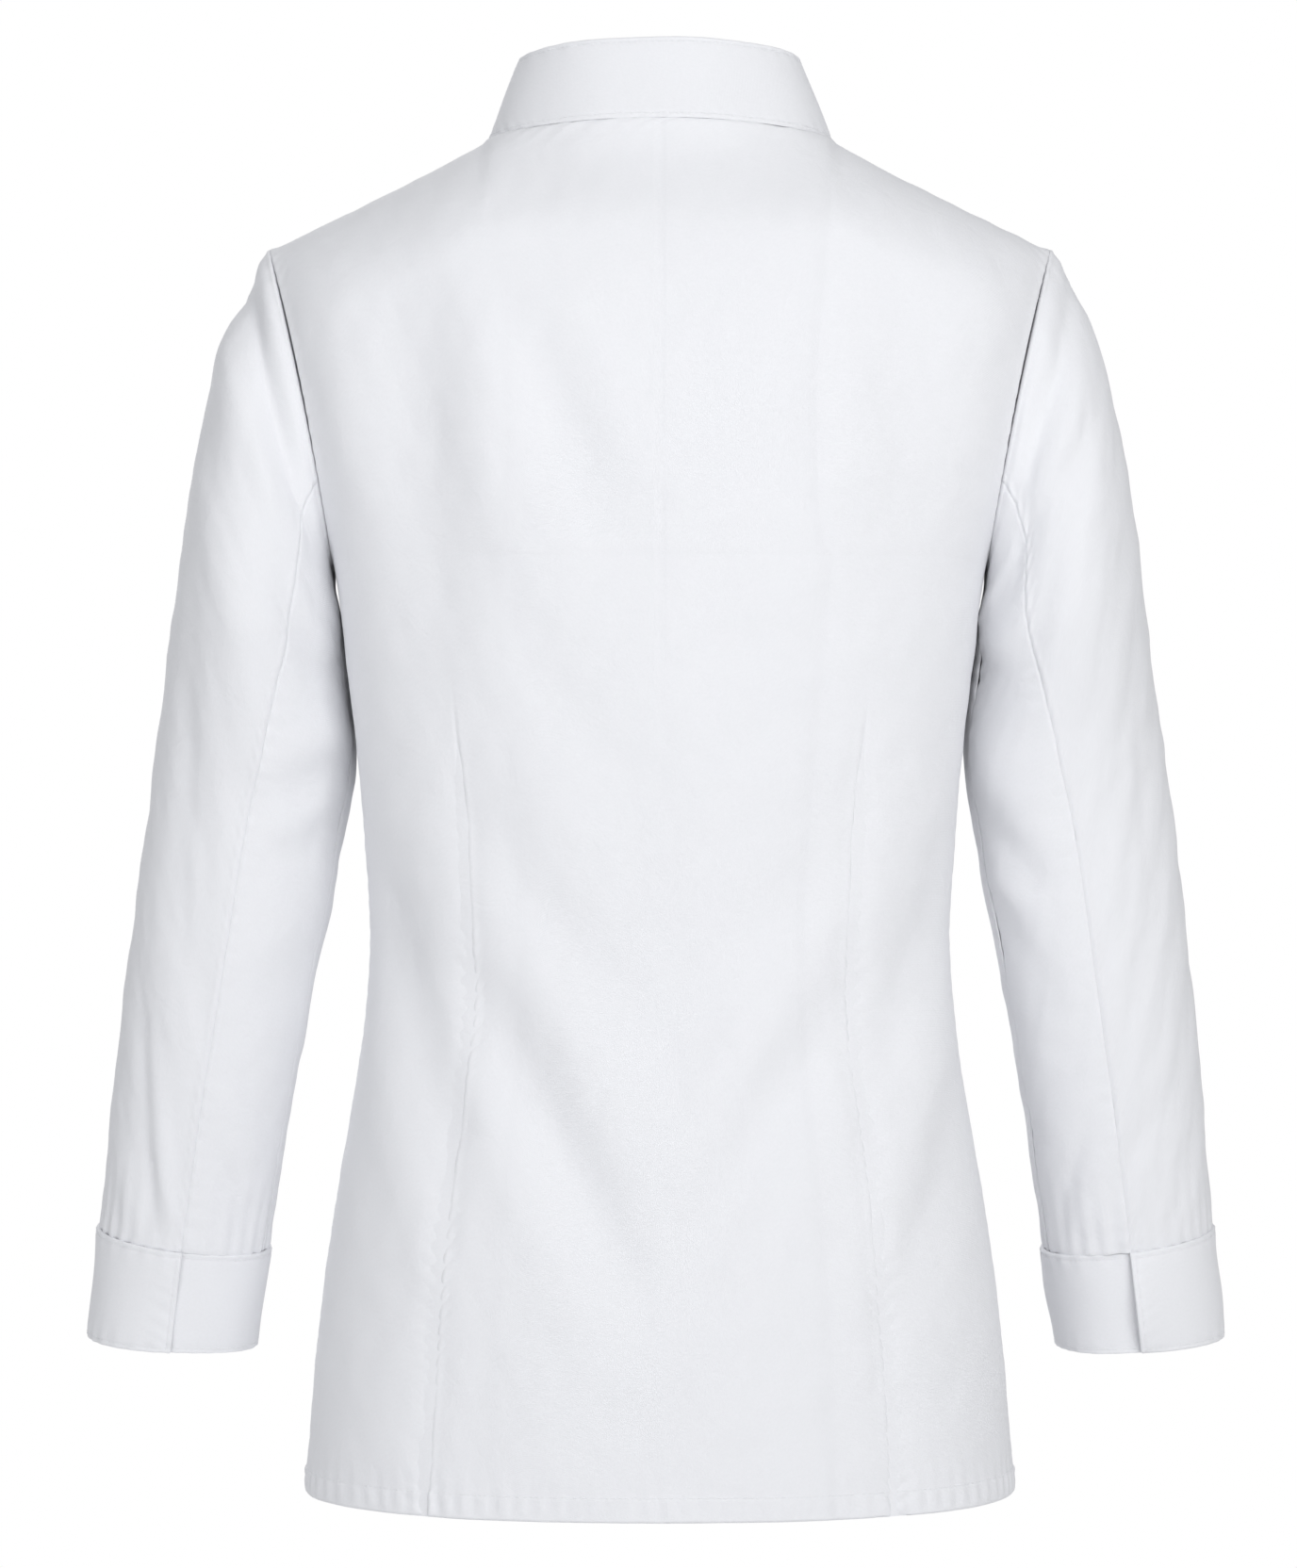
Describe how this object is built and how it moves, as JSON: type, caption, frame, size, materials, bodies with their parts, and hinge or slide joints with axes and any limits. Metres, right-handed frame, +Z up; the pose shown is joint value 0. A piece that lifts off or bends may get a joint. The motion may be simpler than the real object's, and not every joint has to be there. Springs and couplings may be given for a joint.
{
  "type": "chef jacket on the form of an unseen wearer",
  "caption": "Woman's long-sleeved chef jacket in white twill, double-breasted, with stand collar, split cuffs and darted back, hollow and filled out as worn.",
  "frame": {"origin": "midway between the two points where the shoulder seams meet the neckline, which rest on the wearer", "axes": "+Z up, the front faces -Y, the wearer's left side is +X"},
  "size_m": [0.5972, 0.2552, 0.7374],
  "materials": {
    "twill": "plain white cotton blend twill",
    "sleeve_twill": "plain white cotton blend twill",
    "collar_twill": "white twill, stiffened and edge stitched",
    "cuff_twill": "white twill, stiffened and edge stitched",
    "button": "white sew-on button"
  },
  "bodies": {
    "root": {"back": "twill", "front_right": "twill", "front_left": "twill", "collar": "collar_twill", "sleeve_left_upper": "sleeve_twill", "sleeve_left_under": "sleeve_twill", "cuff_left": "cuff_twill", "sleeve_right_upper": "sleeve_twill", "sleeve_right_under": "sleeve_twill", "cuff_right": "cuff_twill", "button_right_1": "button", "button_right_2": "button", "button_right_3": "button", "button_right_4": "button", "button_right_5": "button", "button_left_1": "button", "button_left_2": "button", "button_left_3": "button", "button_left_4": "button", "button_left_5": "button"}
  },
  "joints": []
}
